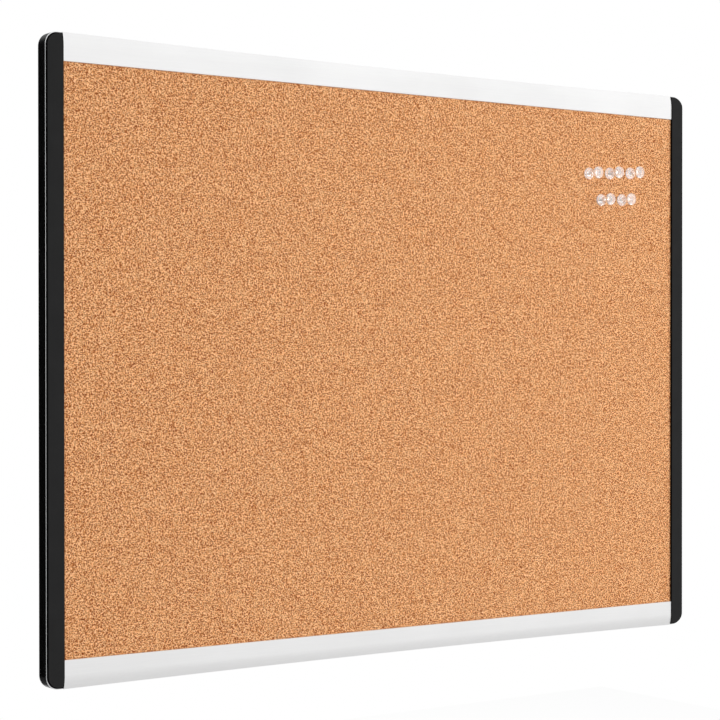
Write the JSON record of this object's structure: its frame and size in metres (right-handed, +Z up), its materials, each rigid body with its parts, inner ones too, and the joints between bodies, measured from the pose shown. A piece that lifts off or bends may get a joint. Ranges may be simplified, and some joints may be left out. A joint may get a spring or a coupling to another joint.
{
  "type": "cork notice board",
  "caption": "Wall-hung framed cork notice board with aluminium rails, dark end caps, sliding keyhole hangers and clear push pins that pull out of the cork.",
  "frame": {"origin": "on the wall plane that the bumpers rest on, midway between the hangers and level with the seats of their keyholes", "axes": "+X along the board to the viewer's right, +Y into the wall, +Z up"},
  "size_m": [0.6096, 0.0269, 0.4572],
  "materials": {
    "cork": "fine-grained natural cork, matte",
    "fibreboard": "soft fibreboard, raw",
    "hardboard": "thin hardboard, smooth side out",
    "satin_aluminium": "satin anodised, pale",
    "black_plastic": "smooth moulded, black",
    "bright_trim": "bright foil on a plastic strip",
    "dark_grey_plastic": "matte moulded, dark grey",
    "hanger_plastic": "moulded, dark grey",
    "zinc_steel": "zinc plated",
    "rubber": "soft grey rubber",
    "clear_plastic": "clear polished acrylic",
    "needle_steel": "polished steel"
  },
  "bodies": {
    "board": {"cork_sheet": "cork", "core_board": "fibreboard", "backing_sheet": "hardboard", "top_rail": "satin_aluminium", "bottom_rail": "satin_aluminium", "left_end_cap": "black_plastic", "right_end_cap": "black_plastic", "left_cap_trim": "bright_trim", "right_cap_trim": "bright_trim", "left_cap_cover": "dark_grey_plastic", "right_cap_cover": "dark_grey_plastic", "cap_screw_top_left": "zinc_steel", "cap_screw_top_right": "zinc_steel", "cap_screw_bottom_left": "zinc_steel", "cap_screw_bottom_right": "zinc_steel", "bumper_top_left": "rubber", "bumper_top_right": "rubber", "bumper_bottom_left": "rubber", "bumper_bottom_right": "rubber"},
    "hanger_left": {"left_hanger": "hanger_plastic"},
    "hanger_right": {"right_hanger": "hanger_plastic"},
    "push_pin_1": {"push_pin_1_body": "clear_plastic", "push_pin_1_needle": "needle_steel"},
    "push_pin_2": {"push_pin_2_body": "clear_plastic", "push_pin_2_needle": "needle_steel"},
    "push_pin_3": {"push_pin_3_body": "clear_plastic", "push_pin_3_needle": "needle_steel"},
    "push_pin_4": {"push_pin_4_body": "clear_plastic", "push_pin_4_needle": "needle_steel"},
    "push_pin_5": {"push_pin_5_body": "clear_plastic", "push_pin_5_needle": "needle_steel"}
  },
  "joints": [
    {"name": "left_hanger_slide", "type": "slide", "parent": "board", "child": "hanger_left", "axis": [1, 0, 0], "range_m": [-0.06, 0.19]},
    {"name": "right_hanger_slide", "type": "slide", "parent": "board", "child": "hanger_right", "axis": [1, 0, 0], "range_m": [-0.19, 0.06]},
    {"name": "push_pin_1_pull", "type": "slide", "parent": "board", "child": "push_pin_1", "axis": [0, -1, 0], "range_m": [0, 0.03]},
    {"name": "push_pin_2_pull", "type": "slide", "parent": "board", "child": "push_pin_2", "axis": [0, -1, 0], "range_m": [0, 0.03]},
    {"name": "push_pin_3_pull", "type": "slide", "parent": "board", "child": "push_pin_3", "axis": [0, -1, 0], "range_m": [0, 0.03]},
    {"name": "push_pin_4_pull", "type": "slide", "parent": "board", "child": "push_pin_4", "axis": [0, -1, 0], "range_m": [0, 0.03]},
    {"name": "push_pin_5_pull", "type": "slide", "parent": "board", "child": "push_pin_5", "axis": [0, -1, 0], "range_m": [0, 0.03]}
  ]
}
